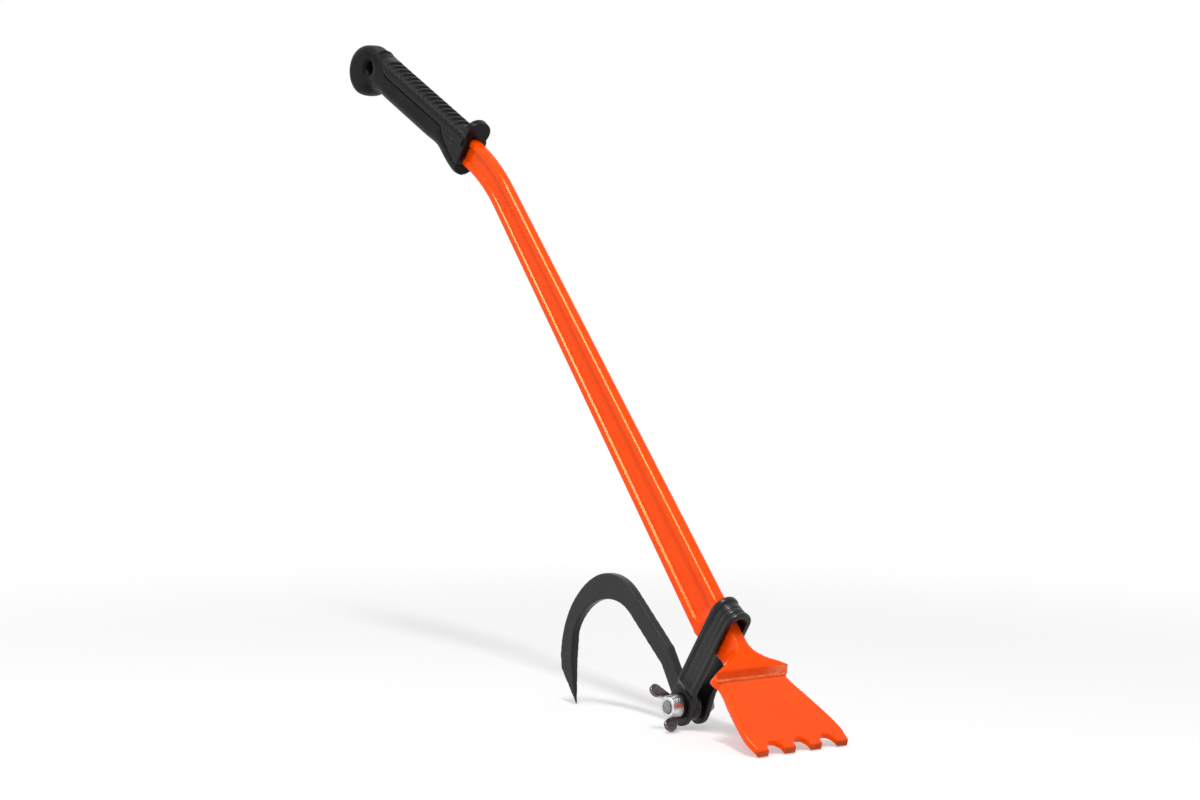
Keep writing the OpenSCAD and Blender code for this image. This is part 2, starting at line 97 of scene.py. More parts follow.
# Blade, with x out of its face, y across it and z up from the ledge's foot. A pair of limits is
# where a zone begins and where it is full.
BLADE_SET = 0.012
BLADE_LEN = 0.073
STEP_H = 0.0069
ROOT_ON_SHAFT, ROOT_OVER_LEDGE = (0.058, 0.042), (0.006, 0.012)
CORNER_SIDE, CORNER_BACK = (0.022, 0.030), (0.001, -0.002)
CORNER_LOW, CORNER_HIGH = (-0.020, -0.008), (0.018, 0.010)
BLUNT_SIDE = (-0.034, -0.039)
BLUNT_LOW, BLUNT_HIGH = (-0.022, -0.012), (0.004, 0.001)
FILLET_STEPS, BLUNT_STEPS = 40, 60
BEVEL_W = 0.0022
BEVEL_ANGLE = math.radians(33)
BEVEL_TOP, BEVEL_END = -0.0015, 0.003
BEVEL_DEPTH = 0.0006
BEVEL_ROW = 0.001
BEVEL_CURVE = 6                         # degree of the curve along the blade's edge

# Wear and dirt on the blade, and painted shade on the ledge's riser and under the ledge's foot
LEDGE_LOW, LEDGE_HIGH = (-0.002, -0.0008), (0.0055, 0.0042)
RISER_LOW, RISER_HIGH = (0.0, 0.0009), (STEP_H, STEP_H - 0.0012)
FOOT_AT, FOOT_BAND = 0.0008, 0.0006
SHADE_LOW, SHADE_HIGH, SHADE_FACE = (-0.0030, -0.0014), (-0.0001, -0.0008), (0.002, 0.001)
FAR_END = (0.006, 0.030)
TEETH = (0.004 - BLADE_LEN, -0.0008 - BLADE_LEN)
TEETH_FACE, TEETH_FACE_CLEAN = (0.5, 0.95), 0.75
RISER_WEAR, TEETH_WEAR = 0.9, 0.2
# how dark the painted shade on the riser and under the ledge is, and how dark the dirt on the teeth
# is
RISER_PAINTED_SHADE, LEDGE_PAINTED_SHADE, TEETH_DIRT = 0.32, 0.75, 0.8

# Grip, with x to its front, y across it and z up it
GUARD_AT = 0.0325
SEAM_FRONT = 0.007
SEAM_CLIMB = 0.008
SEAM_RUN = 0.016
SLEEVE_TOP = 0.179
LAP, LAP_BAND, LAP_EASE = 0.0015, 0.0012, 0.002
POMMEL_AT = 0.2015
POMMEL_X = -0.0053
POMMEL_R = 0.0225
RIB_FRONT = 0.0182
RIB_TOP = 0.190
POMMEL_LOW, POMMEL_HIGH = (0.158, 0.172), (0.204, 0.190)
ABOVE_SLEEVE = (0.176, 0.182)
TO_GUARD_HIGH, TO_GUARD_LOW = (0.09, 0.075), (0.040, 0.050)
BEHIND_SEAM = (SEAM_FRONT - 0.0015, SEAM_FRONT - 0.004)
FRONT_TO_BACK, FRONT_SHARE, BACK_SHARE = (0.012, 0.004), 0.2, 0.8
HOLLOW_STEPS = 160
RIB_END_SIDE, RIB_END_FRONT, RIB_END_LOW = (0.005, 0.009), (0.003, 0.007), (0.042, 0.050)
RIB_END_STEPS = 60

# Strap, with x along its arms from the pivot, y across the loop and z over its width
STRAP_REACH = 0.088
STRAP_RISE = 0.001
STRAP_STEP = 0.0195
GROOVES = ((0.0052, 0.0008, 0.0012), (-0.0012, 0.0006, 0.0006), (-0.0062, 0.0008, 0.0011))
GROOVE_FACING = 0.6
GROOVE_ON_ARM = 0.25                    # share of its depth on the arms
GROOVE_BEND = (STRAP_REACH - 0.016, STRAP_REACH - 0.004)
GROOVE_END = (STRAP_STEP + 0.002, STRAP_STEP + 0.012)

# Hook, bolt and wing nut, by radius round the pivot
BORE_FROM, BORE_R = 0.0045, 0.0053
SHANK_R, SHANK_TO = 0.0049, 0.0054
WINGS_FROM = (0.0085, 0.0105)

# The size of each node's voxels, and the steps that smooth them
VOXEL = {"bar": 0.00075, "grip_core": 0.0007, "grip_sleeve": 0.0005, "link_strap": 0.0005,
         "hook": 0.0007, "wing_nut": 0.0003, "washer": 0.00025, "pivot_bolt": 0.0003}
SMOOTHING = {"bar": 4, "grip_core": 4, "grip_sleeve": 6, "link_strap": 5,
             "hook": 5, "wing_nut": 8, "washer": 3, "pivot_bolt": 4}
WELD = 1e-6


def turn(angle):
    return Matrix.Rotation(angle, 4, "Y")


LEVER = Matrix.Translation(-MIDDLE) @ turn(-LEAN)
GRIP = LEVER @ Matrix.Translation((0, 0, SHAFT_LEN)) @ turn(-BEND)
BLADE = LEVER @ Matrix.Translation((BLADE_SET, 0, 0)) @ turn(-BLADE_TILT)
low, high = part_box("washer")
PIVOT = Matrix.Translation(((low[0] + high[0]) / 2, 0, (low[2] + high[2]) / 2))
STRAP = PIVOT @ turn(-LEAN - STRAP_TILT)

# Camera
CAMERA_AT = (1.94971, -1.44887, 0.38420)
AZIMUTH = math.radians(52.632)
ELEVATION = math.radians(3.2547)
LENS, SENSOR = 90, 36
FARTHEST = 50


def make_camera():
    camera = bpy.data.objects.new("camera", bpy.data.cameras.new("camera"))
    scene.collection.objects.link(camera)
    ca, sa = math.cos(AZIMUTH), math.sin(AZIMUTH)
    ce, se = math.cos(ELEVATION), math.sin(ELEVATION)
    right = (ca, sa, 0)
    up = (-sa * se, ca * se, ce)
    backward = (sa * ce, -ca * ce, se)
    camera.matrix_world = Matrix([*zip(right, up, backward, CAMERA_AT), (0, 0, 0, 1)])
    camera.data.lens = LENS
    camera.data.sensor_width = SENSOR
    camera.data.clip_end = FARTHEST
    scene.camera = camera


make_camera()
scene.view_settings.view_transform = "Standard"


# Mesh helpers
def points(mesh):
    co = np.empty(len(mesh.vertices) * 3)
    mesh.vertices.foreach_get("co", co)
    return co.reshape(-1, 3)


def set_points(mesh, co):
    mesh.vertices.foreach_set("co", co.astype(np.float32).ravel())
    mesh.update()


def normals(mesh):
    no = np.empty(len(mesh.vertices) * 3)
    mesh.vertices.foreach_get("normal", no)
    return no.reshape(-1, 3)


def local(co, matrix):
    """World points in a frame's own coordinates."""
    inv = np.array(matrix.inverted())
    return co @ inv[:3, :3].T + inv[:3, 3]


def world(co, matrix):
    """A frame's own points in world coordinates."""
    m = np.array(matrix)
    return co @ m[:3, :3].T + m[:3, 3]


def between(a, b, t):
    return a + (b - a) * t


def share(x, a, b):
    """A straight rise from 0 at a to 1 at b."""
    return np.clip((x - a) / (b - a), 0, 1)


def ramp(x, a, b):
    """A smooth rise from 0 at a to 1 at b."""
    t = np.clip((x - a) / (b - a), 0, 1)
    return t * t * (3 - 2 * t)


def soft(t, r):
    """A straight rise from 0 at 0 to 1 at 1, with both corners rounded."""
    def knee(u):
        return (u + math.sqrt(u * u + 4 * r * r)) / 2
    return min(max(knee(t) - knee(t - 1), 0), 1)


def zone(*parts):
    """1 where every value is past its pair of limits, and 0 where one is short of them."""
    inside = 1.0
    for values, limits in parts:
        inside = inside * ramp(values, *limits)
    return inside


def bump(x, at, band):
    """A round rise to 1 at a place."""
    return np.exp(-((x - at) / band) ** 2)


def store(mesh, name, values):
    """Keeps a value at each point, for the material."""
    layer = mesh.attributes.new(name, "FLOAT", "POINT")
    layer.data.foreach_set("value", np.asarray(values, dtype=np.float32))


def add_piece(name, mesh):
    piece = bpy.data.objects.new(name, mesh)
    scene.collection.objects.link(piece)
    return piece


def apply_modifiers(piece):
    graph = bpy.context.evaluated_depsgraph_get()
    done = bpy.data.meshes.new_from_object(piece.evaluated_get(graph))
    piece.modifiers.clear()
    piece.data = done


def remeshed(node, name, grid=Matrix()):
    """A dense, even mesh of a CAD node, as a new piece, with its voxels in line with a frame."""
    piece = add_piece(name, frame["nodes"][node].data.copy())
    piece.data.materials.clear()
    piece.data.transform(grid.inverted())
    weld = piece.modifiers.new("weld", "WELD")
    weld.merge_threshold = WELD
    mod = piece.modifiers.new("remesh", "REMESH")
    mod.mode = "VOXEL"
    mod.voxel_size = VOXEL[node]
    mod.use_smooth_shade = True
    apply_modifiers(piece)
    piece.data.transform(grid)
    return piece


def relax(mesh, steps, weight=None, rate=0.5):
    """Smooths a mesh: each point moves toward the middle of its neighbours, weight times as far."""
    n = len(mesh.vertices)
    e = np.empty(len(mesh.edges) * 2, dtype=np.int64)
    mesh.edges.foreach_get("vertices", e)
    a, b = e[0::2], e[1::2]
    count = np.bincount(a, minlength=n) + np.bincount(b, minlength=n)
    co = points(mesh)
    w = np.full(n, rate) if weight is None else weight * rate
    for _ in range(steps):
        total = np.stack([np.bincount(a, co[b, k], n) + np.bincount(b, co[a, k], n)
                          for k in range(3)], 1)
        co += (total / count[:, None] - co) * w[:, None]
    set_points(mesh, co)


def united(piece, mesh):
    """Joins a second mesh to a piece, as one closed surface."""
    other = add_piece("to_join", mesh)
    mod = piece.modifiers.new("join", "BOOLEAN")
    mod.operation = "UNION"
    mod.solver = "EXACT"
    mod.object = other
    apply_modifiers(piece)
    bpy.data.objects.remove(other)


# Materials
PATCHY = (0.35, 0.7)                    # the part of a noise's range that goes from 0 to 1
EVEN = (0.3, 0.7)


def linear(r, g, b):
    """A colour given as 0 to 255 in sRGB, for the shader."""
    def one(c):
        c /= 255
        return c / 12.92 if c <= 0.04045 else ((c + 0.055) / 1.055) ** 2.4
    return (one(r), one(g), one(b), 1)


class Nodes:
    """Short names for making a material's nodes."""

    def __init__(self, name):
        self.material = bpy.data.materials.new(name)
        self.material.use_nodes = True
        self.tree = self.material.node_tree
        self.shader = self.tree.nodes["Principled BSDF"]
        self.coords = self.tree.nodes.new("ShaderNodeTexCoord").outputs["Object"]

    def node(self, kind, **values):
        n = self.tree.nodes.new("ShaderNode" + kind)
        for key, value in values.items():
            setattr(n, key, value)
        return n

    def set(self, socket, value):
        """Gives a socket a number or a colour, or links it to another node."""
        if isinstance(value, (int, float, tuple)):
            socket.default_value = value
        else:
            self.tree.links.new(value, socket)

    def give(self, name, value):
        self.set(self.shader.inputs[name], value)

    def noise(self, scale, detail=4, rough=0.55, stretch=None):
        """A noise with so many waves to a metre, turned and scaled first by stretch."""
        n = self.node("TexNoise")
        n.inputs["Scale"].default_value = scale
        n.inputs["Detail"].default_value = detail
        n.inputs["Roughness"].default_value = rough
        vector = self.coords
        if stretch:
            m = self.node("Mapping")
            m.inputs["Rotation"].default_value = stretch[0]
            m.inputs["Scale"].default_value = stretch[1]
            self.set(m.inputs["Vector"], vector)
            vector = m.outputs["Vector"]
        self.set(n.inputs["Vector"], vector)
        return n.outputs["Fac"]

    def spots(self, scale):
        n = self.node("TexVoronoi")
        n.inputs["Scale"].default_value = scale
        self.set(n.inputs["Vector"], self.coords)
        return n.outputs["Distance"]

    def span(self, value, a, b, low=0.0, high=1.0):
        """Turns the range from a to b into the range from low to high."""
        n = self.node("MapRange")
        n.inputs["From Min"].default_value = a
        n.inputs["From Max"].default_value = b
        n.inputs["To Min"].default_value = low
        n.inputs["To Max"].default_value = high
        self.set(n.inputs["Value"], value)
        return n.outputs["Result"]

    def calc(self, operation, a, b):
        n = self.node("Math", operation=operation)
        self.set(n.inputs[0], a)
        self.set(n.inputs[1], b)
        return n.outputs["Value"]

    def times(self, a, b):
        return self.calc("MULTIPLY", a, b)

    def mix(self, fac, a, b):
        n = self.node("Mix", data_type="RGBA")
        fac_at, a_at, b_at, result_at = 0, 6, 7, 2
        self.set(n.inputs[a_at], a)
        self.set(n.inputs[b_at], b)
        self.set(n.inputs[fac_at], fac)
        return n.outputs[result_at]

    def attribute(self, name):
        return self.node("Attribute", attribute_name=name).outputs["Fac"]

    def pointiness(self):
        return self.node("NewGeometry").outputs["Pointiness"]

    def bumps(self, *layers):
        """Stacks bumps, each a height, its depth in metres and its strength."""
        last = None
        for height, depth, strength in layers:
            n = self.node("Bump")
            n.inputs["Distance"].default_value = depth
            n.inputs["Strength"].default_value = strength
            self.set(n.inputs["Height"], height)
            if last:
                self.set(n.inputs["Normal"], last)
            last = n.outputs["Normal"]
        self.give("Normal", last)


def orange_paint():
    """Glossy orange paint, rubbed pale on the ledge, dark with dirt on the teeth, and with painted
    shade on and under the ledge.
    """
    m = Nodes("orange_paint")
    fine = m.noise(900, 3)
    broad = m.noise(14, 3)
    waves = m.noise(40, 2)
    scuffs = m.span(m.noise(420, 5, 0.7, ((0, 0, 0), (1, 1, 2.5))), 0.40, 0.58)
    dirt_and_shade_patches = m.span(m.noise(170, 5, 0.65), 0.32, 0.62, 0.4, 1.0)
    base = m.mix(m.span(broad, *PATCHY), linear(253, 73, 0), linear(255, 79, 0))
    worn = m.times(m.attribute("wear"), scuffs)
    tone = m.mix(worn, base, linear(232, 150, 104))
    # dark brown: dirt on the teeth, and painted shade on the riser and under the ledge
    m.give("Base Color", m.mix(m.times(m.attribute("dirt_and_painted_shade"), dirt_and_shade_patches), tone, linear(122, 52, 22)))
    dull = m.calc("ADD", m.times(broad, 0.12), worn)
    m.give("Roughness", m.span(dull, 0.0, 1.0, 0.14, 0.5))
    m.give("Specular IOR Level", 0.17)
    m.give("Specular Tint", (1.0, 0.75, 0.35, 1))
    m.bumps((waves, 0.0001, 0.10), (fine, 0.00001, 0.10), (worn, 0.00006, 0.3))
    return m.material


def moulded(name, tone, light, rough, grain, depth, gloss):
    """Grained black plastic or rubber, paler where it is rubbed."""
    m = Nodes(name)
    rub = m.times(m.span(m.pointiness(), 0.5, 0.6), 0.5)
    patch = m.span(m.noise(35, 4), *PATCHY)
    base = m.mix(patch, linear(*tone), linear(*[c + 7 for c in tone]))
    m.give("Base Color", m.mix(rub, base, linear(*light)))
    m.give("Roughness", m.span(m.noise(180, 4), *EVEN, rough - 0.05, rough + 0.07))
    m.give("Specular IOR Level", gloss)
    m.bumps((m.spots(grain), depth, 0.4), (m.noise(grain * 0.6, 3), depth, 0.3))
    return m.material


def black_steel():
    """Black coating over forged steel, with fine scratches and bright worn edges."""
    m = Nodes("black_coated_steel")
    scratches = m.noise(420, 4, 0.6, ((0, math.radians(55), 0), (0.08, 1, 1)))
    forging = m.noise(60, 5, 0.6)
    dents = m.noise(45, 3)
    grain = m.noise(1500, 2)
    specks = m.times(m.span(m.noise(700, 2), 0.70, 0.76), 0.35)
    edge = m.span(m.pointiness(), 0.53, 0.66)
    worn = m.times(edge, m.span(m.noise(140, 5), 0.42, 0.6))
    base = m.mix(m.span(forging, *PATCHY), linear(12, 12, 13), linear(20, 20, 22))
    rubbed = m.mix(m.times(worn, 0.45), base, linear(112, 112, 114))
    m.give("Base Color", m.mix(specks, rubbed, linear(120, 120, 122)))
    m.give("Roughness", m.span(scratches, *EVEN, 0.34, 0.48))
    m.give("Specular IOR Level", 0.10)
    m.give("Coat Weight", 0.45)
    m.give("Coat Roughness", 0.27)
    m.bumps((dents, 0.0003, 0.2), (scratches, 0.00005, 0.35), (grain, 0.00003, 0.3))
    return m.material


def zinc(name, tone, rough):
    """Bright zinc plate, duller and with pale rims where the attribute "cast" is set."""
    m = Nodes(name)
    cloud = m.noise(220, 4)
    plate = m.mix(m.span(cloud, *EVEN), linear(*tone), linear(*[max(0, c - 34) for c in tone]))
    sand = m.span(m.noise(700, 4), 0.35, 0.65)
    dull = m.mix(sand, linear(70, 66, 69), linear(108, 104, 107))
    cast = m.mix(m.span(m.pointiness(), 0.52, 0.60), dull, linear(205, 205, 207))
    m.give("Base Color", m.mix(m.attribute("cast"), plate, cast))
    m.give("Metallic", 0.9)
    m.give("Roughness", m.span(m.noise(500, 4), *EVEN, rough - 0.07, rough + 0.1))
    m.bumps((m.noise(260, 3), 0.0001, 0.3), (m.noise(1800, 2), 0.00003, 0.3))
    return m.material


paint = orange_paint()
grip_hard = moulded("grip_plastic", (12, 12, 13), (34, 34, 36), 0.40, 1500, 0.00003, 0.08)
grip_soft = moulded("grip_rubber", (10, 10, 11), (40, 40, 42), 0.29, 1700, 0.00002, 0.15)
black = black_steel()
bright = zinc("zinc_bright", (226, 229, 231), 0.24)
bolt_zinc = zinc("zinc_bolt", (150, 152, 155), 0.34)


def finish_piece(piece, material, body, slot, *nodes):
    piece.data.polygons.foreach_set("use_smooth", [True] * len(piece.data.polygons))
    piece.data.materials.clear()
    piece.data.materials.append(material)
    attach(piece, body)
    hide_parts(*nodes)


# The shaft: a section swept up the straight, round the bend and into the guard
def half_depth(at, start):
    lowest = between(*SHAFT_DEPTH, start / SHAFT_LEN) / 2
    return between(lowest, TOP_HALF_DEPTH, share(at, start, BEND_START))


def shaft_axis(at):
    """The axis and the forward direction at a distance up the shaft, in the lever's frame."""
    a = min(max((at - BEND_START) / BEND_R, 0), BEND)
    rest = at - BEND_START - BEND_R * a
    point = Vector((-BEND_R + BEND_R * math.cos(a) - rest * math.sin(a), 0,
                    BEND_START + BEND_R * math.sin(a) + rest * math.cos(a)))
    return point, Vector((math.cos(a), 0, math.sin(a)))


def edge_profile():
    """A flange's corner, as rows of how far out and how far sideways it is from its start."""
    r, a = EDGE_R, EDGE_ANGLE
    rows = [(-r + r * math.cos(q), r * math.sin(q)) for q in np.linspace(0, a, FIRST_ROUND_ROWS)]
    out, side = rows[-1]
    out, side = out - CHAMFER * math.sin(a), side + CHAMFER * math.cos(a)
    rows += [(out + r * (math.cos(q) - math.cos(a)), side + r * (math.sin(q) - math.sin(a)))
             for q in np.linspace(a, math.pi / 2, SECOND_ROUND_ROWS)]
    return rows


EDGE = edge_profile()


def section(at):
    """Half outline of the section from the middle of the front to the middle of the back."""
    front, back = half_depth(at, FRONT_FROM), half_depth(at, BACK_FROM)
    half_w = between(*FLANGE_W, at / SHAFT_LEN) / 2 if at < SHAFT_LEN else FLANGE_W[1] / 2
    shrink = TUCK if at < CUT_AT else 0
    front, back, half_w = front - shrink, back - shrink, half_w - shrink
    foot = front - FLANGE_T
    run = (half_w - WEB_HALF) * math.tan(EDGE_ANGLE)
    inset = EDGE[-1][1]
    out = [(front, 0), (front, (half_w - inset) / 2)]
    out += [(front + o, half_w - inset + w) for o, w in EDGE]
    walls = [foot + WALL_PAST - (run + 2 * WALL_PAST) * i / WALL_ROWS
             for i in range(WALL_ROWS + 1)]
    web = list(np.linspace(foot - run - 2 * WALL_PAST, 0, WEB_ROWS))
    for offset in walls + web + [-o for o in reversed(walls + web[:-1])]:
        end = WEB_START - math.sqrt(max(foot ** 2 - offset ** 2, 0))
        slope = soft((foot - abs(offset)) / run, WALL_SOFT)
        deep = ramp(at, end - WEB_EASE[0], end + WEB_EASE[1]) * slope
        out.append((offset, half_w - deep * (half_w - WEB_HALF)))
    out += [(-back - o, half_w - inset + w) for o, w in reversed(EDGE)]
    out += [(-back, (half_w - inset) / 2), (-back, 0)]
    return out


def shaft_mesh():
    top = BEND_END + GUARD_AT - BEND_R * math.tan(BEND / 2) + INTO_GUARD
    stations = list(np.arange(CUT_AT - INTO_ROOT, FINE_TO, FINE_STEP))
    stations += list(np.linspace(FINE_TO, BEND_START, STRAIGHT_ROWS))
    stations += list(np.linspace(BEND_START, BEND_END, BEND_ROWS))[1:]
    stations += [(BEND_END + top) / 2, top]
    rings = []
    for at in stations:
        point, forward = shaft_axis(at)
        half = section(at)
        loop = half + [(o, -w) for o, w in reversed(half[1:-1])]
        rings.append([LEVER @ (point + forward * o + Vector((0, w, 0))) for o, w in loop])
    n = len(rings[0])
    last = (len(rings) - 1) * n
    faces = [(i + j, i + (j + 1) % n, i + n + (j + 1) % n, i + n + j)
             for i in range(0, last, n) for j in range(n)]
    faces += [tuple(reversed(range(n))), tuple(range(last, last + n))]
    mesh = bpy.data.meshes.new("shaft")
    mesh.from_pydata([v for ring in rings for v in ring], [], faces)
    work = bmesh.new()
    work.from_mesh(mesh)
    bmesh.ops.recalc_face_normals(work, faces=work.faces)
    work.to_mesh(mesh)
    work.free()
    return mesh


# The forged bar: the blade and its root from the CAD node, with the swept shaft above
def cut_off(mesh, at):
    """Takes away what is above a height on the shaft, and closes the cut."""
    work = bmesh.new()
    work.from_mesh(mesh)
    everything = work.verts[:] + work.edges[:] + work.faces[:]
    bmesh.ops.bisect_plane(work, geom=everything, plane_co=LEVER @ Vector((0, 0, at)),
                           plane_no=LEVER.to_3x3().col[2], clear_outer=True)
    bmesh.ops.holes_fill(work, edges=[e for e in work.edges if e.is_boundary], sides=0)
    bmesh.ops.recalc_face_normals(work, faces=work.faces)
    work.to_mesh(mesh)
    work.free()


def bevel_blade(mesh):
    """Flattens the blade's front edge on the near side."""
    b = local(points(mesh), BLADE)
    on_blade = ((b[:, 2] < BEVEL_TOP) & (b[:, 2] > BEVEL_END - BLADE_LEN)
                & (b[:, 0] < BEVEL_DEPTH))
    rows = np.floor(b[:, 2] / BEVEL_ROW).astype(int)
    heights, edge = [], []
    for row in np.unique(rows[on_blade]):
        heights.append((row + 0.5) * BEVEL_ROW)
        edge.append(b[on_blade & (rows == row), 1].min())
    smooth_edge = np.polyval(np.polyfit(heights, edge, BEVEL_CURVE), b[:, 2])
    inward, deep = b[:, 1] - smooth_edge, -b[:, 0]
    c, q = math.cos(BEVEL_ANGLE), math.sin(BEVEL_ANGLE)
    move = np.clip(BEVEL_W * q * c - (inward * q + deep * c), 0, None) * on_blade
    b[:, 1] += move * q
    b[:, 0] -= move * c
    set_points(mesh, world(b, BLADE))


def mark_blade(mesh):
    """Stores the wear on the ledge and the teeth, the teeth's dirt, and painted shade on and under
    the ledge.
    """
    b = local(points(mesh), BLADE)
    x, y, z = b[:, 0], b[:, 1], b[:, 2]
    face = normals(mesh) @ np.array(BLADE.to_3x3().col[0])
    on_ledge = zone((z, LEDGE_LOW), (z, LEDGE_HIGH))
    riser = on_ledge * ramp(x, *RISER_LOW) * ramp(x, *RISER_HIGH)
    foot = on_ledge * bump(x, FOOT_AT, FOOT_BAND)
    # painted shade: a dark band just under the ledge's foot, where shade falls
    shade = zone((z, SHADE_LOW), (z, SHADE_HIGH), (np.abs(x), SHADE_FACE))
    far_end = ramp(y, *FAR_END)
    teeth = ramp(z, *TEETH) * (1 - TEETH_FACE_CLEAN * ramp(face, *TEETH_FACE))
    wear = foot + riser * far_end * RISER_WEAR + teeth * TEETH_WEAR
    # painted shade on the riser, darker toward its near end, where it faces down; the teeth's share
    # is dirt
    dirt_and_painted_shade = (riser - foot).clip(0) * RISER_PAINTED_SHADE * (1 - far_end)
    dirt_and_painted_shade = dirt_and_painted_shade + shade * LEDGE_PAINTED_SHADE + teeth * TEETH_DIRT
    store(mesh, "wear", np.clip(wear, 0, 1))
    store(mesh, "dirt_and_painted_shade", np.clip(dirt_and_painted_shade, 0, 1))


def make_bar():
    piece = remeshed("bar", "forged_bar", LEVER)
    mesh = piece.data
    relax(mesh, SMOOTHING["bar"])
    # wider fillets at the shaft's root and the blade's upper corners, the near one blunter still
    b = local(points(mesh), BLADE)
    up_shaft = local(points(mesh), LEVER)[:, 2]
    x, y, z = b[:, 0], b[:, 1], b[:, 2]
    root = zone((up_shaft, ROOT_ON_SHAFT), (z, ROOT_OVER_LEDGE))
    corners = zone((np.abs(y), CORNER_SIDE), (z, CORNER_LOW), (z, CORNER_HIGH), (x, CORNER_BACK))
    blunt = zone((y, BLUNT_SIDE), (z, BLUNT_LOW), (z, BLUNT_HIGH))
    relax(mesh, FILLET_STEPS, np.clip(root + np.maximum(corners, blunt), 0, 1))
    relax(mesh, BLUNT_STEPS, blunt)
    bevel_blade(mesh)
    cut_off(mesh, CUT_AT)
    united(piece, shaft_mesh())
    up_shaft = local(points(piece.data), LEVER)[:, 2]
    relax(piece.data, JOINT_STEPS, bump(up_shaft, CUT_AT, JOINT_BAND))
    mark_blade(piece.data)
    finish_piece(piece, paint, "lever", "paint", "bar")


# The moulded grip: hollow fillets at the pommel and at the guard
def fill_front(mesh):
    """Fills the dip between the ribs and the pommel's round front to a straight line."""
    g = local(points(mesh), GRIP)
    dip = (g[:, 2] > RIB_TOP) & (g[:, 2] < POMMEL_AT) & (g[:, 0] > 0)
    z = np.clip(g[:, 2], RIB_TOP, POMMEL_AT)
    round_front = POMMEL_X + np.sqrt(POMMEL_R ** 2 - (z - POMMEL_AT) ** 2)
    line = RIB_FRONT + (POMMEL_X + POMMEL_R - RIB_FRONT) * (z - RIB_TOP) / (POMMEL_AT - RIB_TOP)
    g[:, 0] *= np.where(dip, line / round_front, 1)
    set_points(mesh, world(g, GRIP))


def lap(mesh):
    """Pushes the sleeve's upper end into the core, so that no seam shows across the front."""
    g = local(points(mesh), GRIP)
    rise = SLEEVE_TOP - SEAM_RUN + (g[:, 0] - SEAM_FRONT) * SEAM_RUN / SEAM_CLIMB
    end = np.minimum(rise, SLEEVE_TOP)
    at_end = np.where(np.abs(g[:, 2] - end) < LAP_BAND, LAP, 0)
    g[:, 2] += at_end * ramp(g[:, 0], SEAM_FRONT, SEAM_FRONT + LAP_EASE)
    set_points(mesh, world(g, GRIP))


def make_grip():
    core = remeshed("grip_core", "grip_core_moulding", GRIP)
    relax(core.data, SMOOTHING["grip_core"])
    fill_front(core.data)
    g = local(points(core.data), GRIP)
    x, z = g[:, 0], g[:, 2]
    to_pommel = zone((z, POMMEL_LOW), (z, POMMEL_HIGH))
    to_guard = zone((z, TO_GUARD_HIGH), (z, TO_GUARD_LOW))
    behind = ramp(x, *BEHIND_SEAM)
    at_back = FRONT_SHARE + BACK_SHARE * ramp(x, *FRONT_TO_BACK)
    near_pommel = to_pommel * np.maximum(ramp(z, *ABOVE_SLEEVE), behind) * at_back
    relax(core.data, HOLLOW_STEPS, np.clip(near_pommel + to_guard * behind, 0, 1))
    finish_piece(core, grip_hard, "lever", "grip_hard", "grip_core")
    sleeve = remeshed("grip_sleeve", "grip_sleeve_moulding", GRIP)
    lap(sleeve.data)
    relax(sleeve.data, SMOOTHING["grip_sleeve"])
    g = local(points(sleeve.data), GRIP)
    rib_ends = zone((np.abs(g[:, 1]), RIB_END_SIDE), (g[:, 0], RIB_END_FRONT),
                    (g[:, 2], RIB_END_LOW))
    relax(sleeve.data, RIB_END_STEPS, rib_ends)
    finish_piece(sleeve, grip_soft, "lever", "grip_soft", "grip_sleeve")


# The strap: grooves round its outside, from the end of the step on one arm to the other arm
def make_strap():
    piece = remeshed("link_strap", "forged_strap", STRAP)
    relax(piece.data, SMOOTHING["link_strap"])
    co = points(piece.data)
    no = normals(piece.data)
    g = local(co, STRAP)
    n = no @ np.array(STRAP.to_3x3())
    along, across = n[:, 0] * (g[:, 0] - STRAP_REACH), n[:, 1] * g[:, 1]
    out = np.where(g[:, 0] > STRAP_REACH, along + across, across)
    outside = (out > 0) & (np.abs(n[:, 2]) < GROOVE_FACING)
    depth = np.zeros(len(g))
    for at, width, deep in GROOVES:
        depth += deep * np.exp(-((g[:, 2] - STRAP_RISE - at) / width) ** 2)
    # the grooves are deep round the bend and fade down the arms
    depth *= GROOVE_ON_ARM + (1 - GROOVE_ON_ARM) * ramp(g[:, 0], *GROOVE_BEND)
    depth *= ramp(g[:, 0], *GROOVE_END) * outside
    set_points(piece.data, co - no * depth[:, None])
    relax(piece.data, 1)
    finish_piece(piece, black, "strap", "black_steel", "link_strap")


# The hook and the fasteners, whose visible bore and shank leave room for the swing
def ream(mesh, inner, outer, radius):
    """Moves the points between two radii round the pivot to one radius, as a true bore or shank."""
    g = local(points(mesh), PIVOT)
    r = np.hypot(g[:, 0], g[:, 2])
    hit = (r > inner) & (r < outer)
    g[hit, 0] *= radius / r[hit]
    g[hit, 2] *= radius / r[hit]
    set_points(mesh, world(g, PIVOT))


def make_hook():
    piece = remeshed("hook", "forged_hook")
    relax(piece.data, SMOOTHING["hook"])
    ream(piece.data, BORE_FROM, BORE_R, BORE_R)
    finish_piece(piece, black, "hook", "black_steel", "hook")


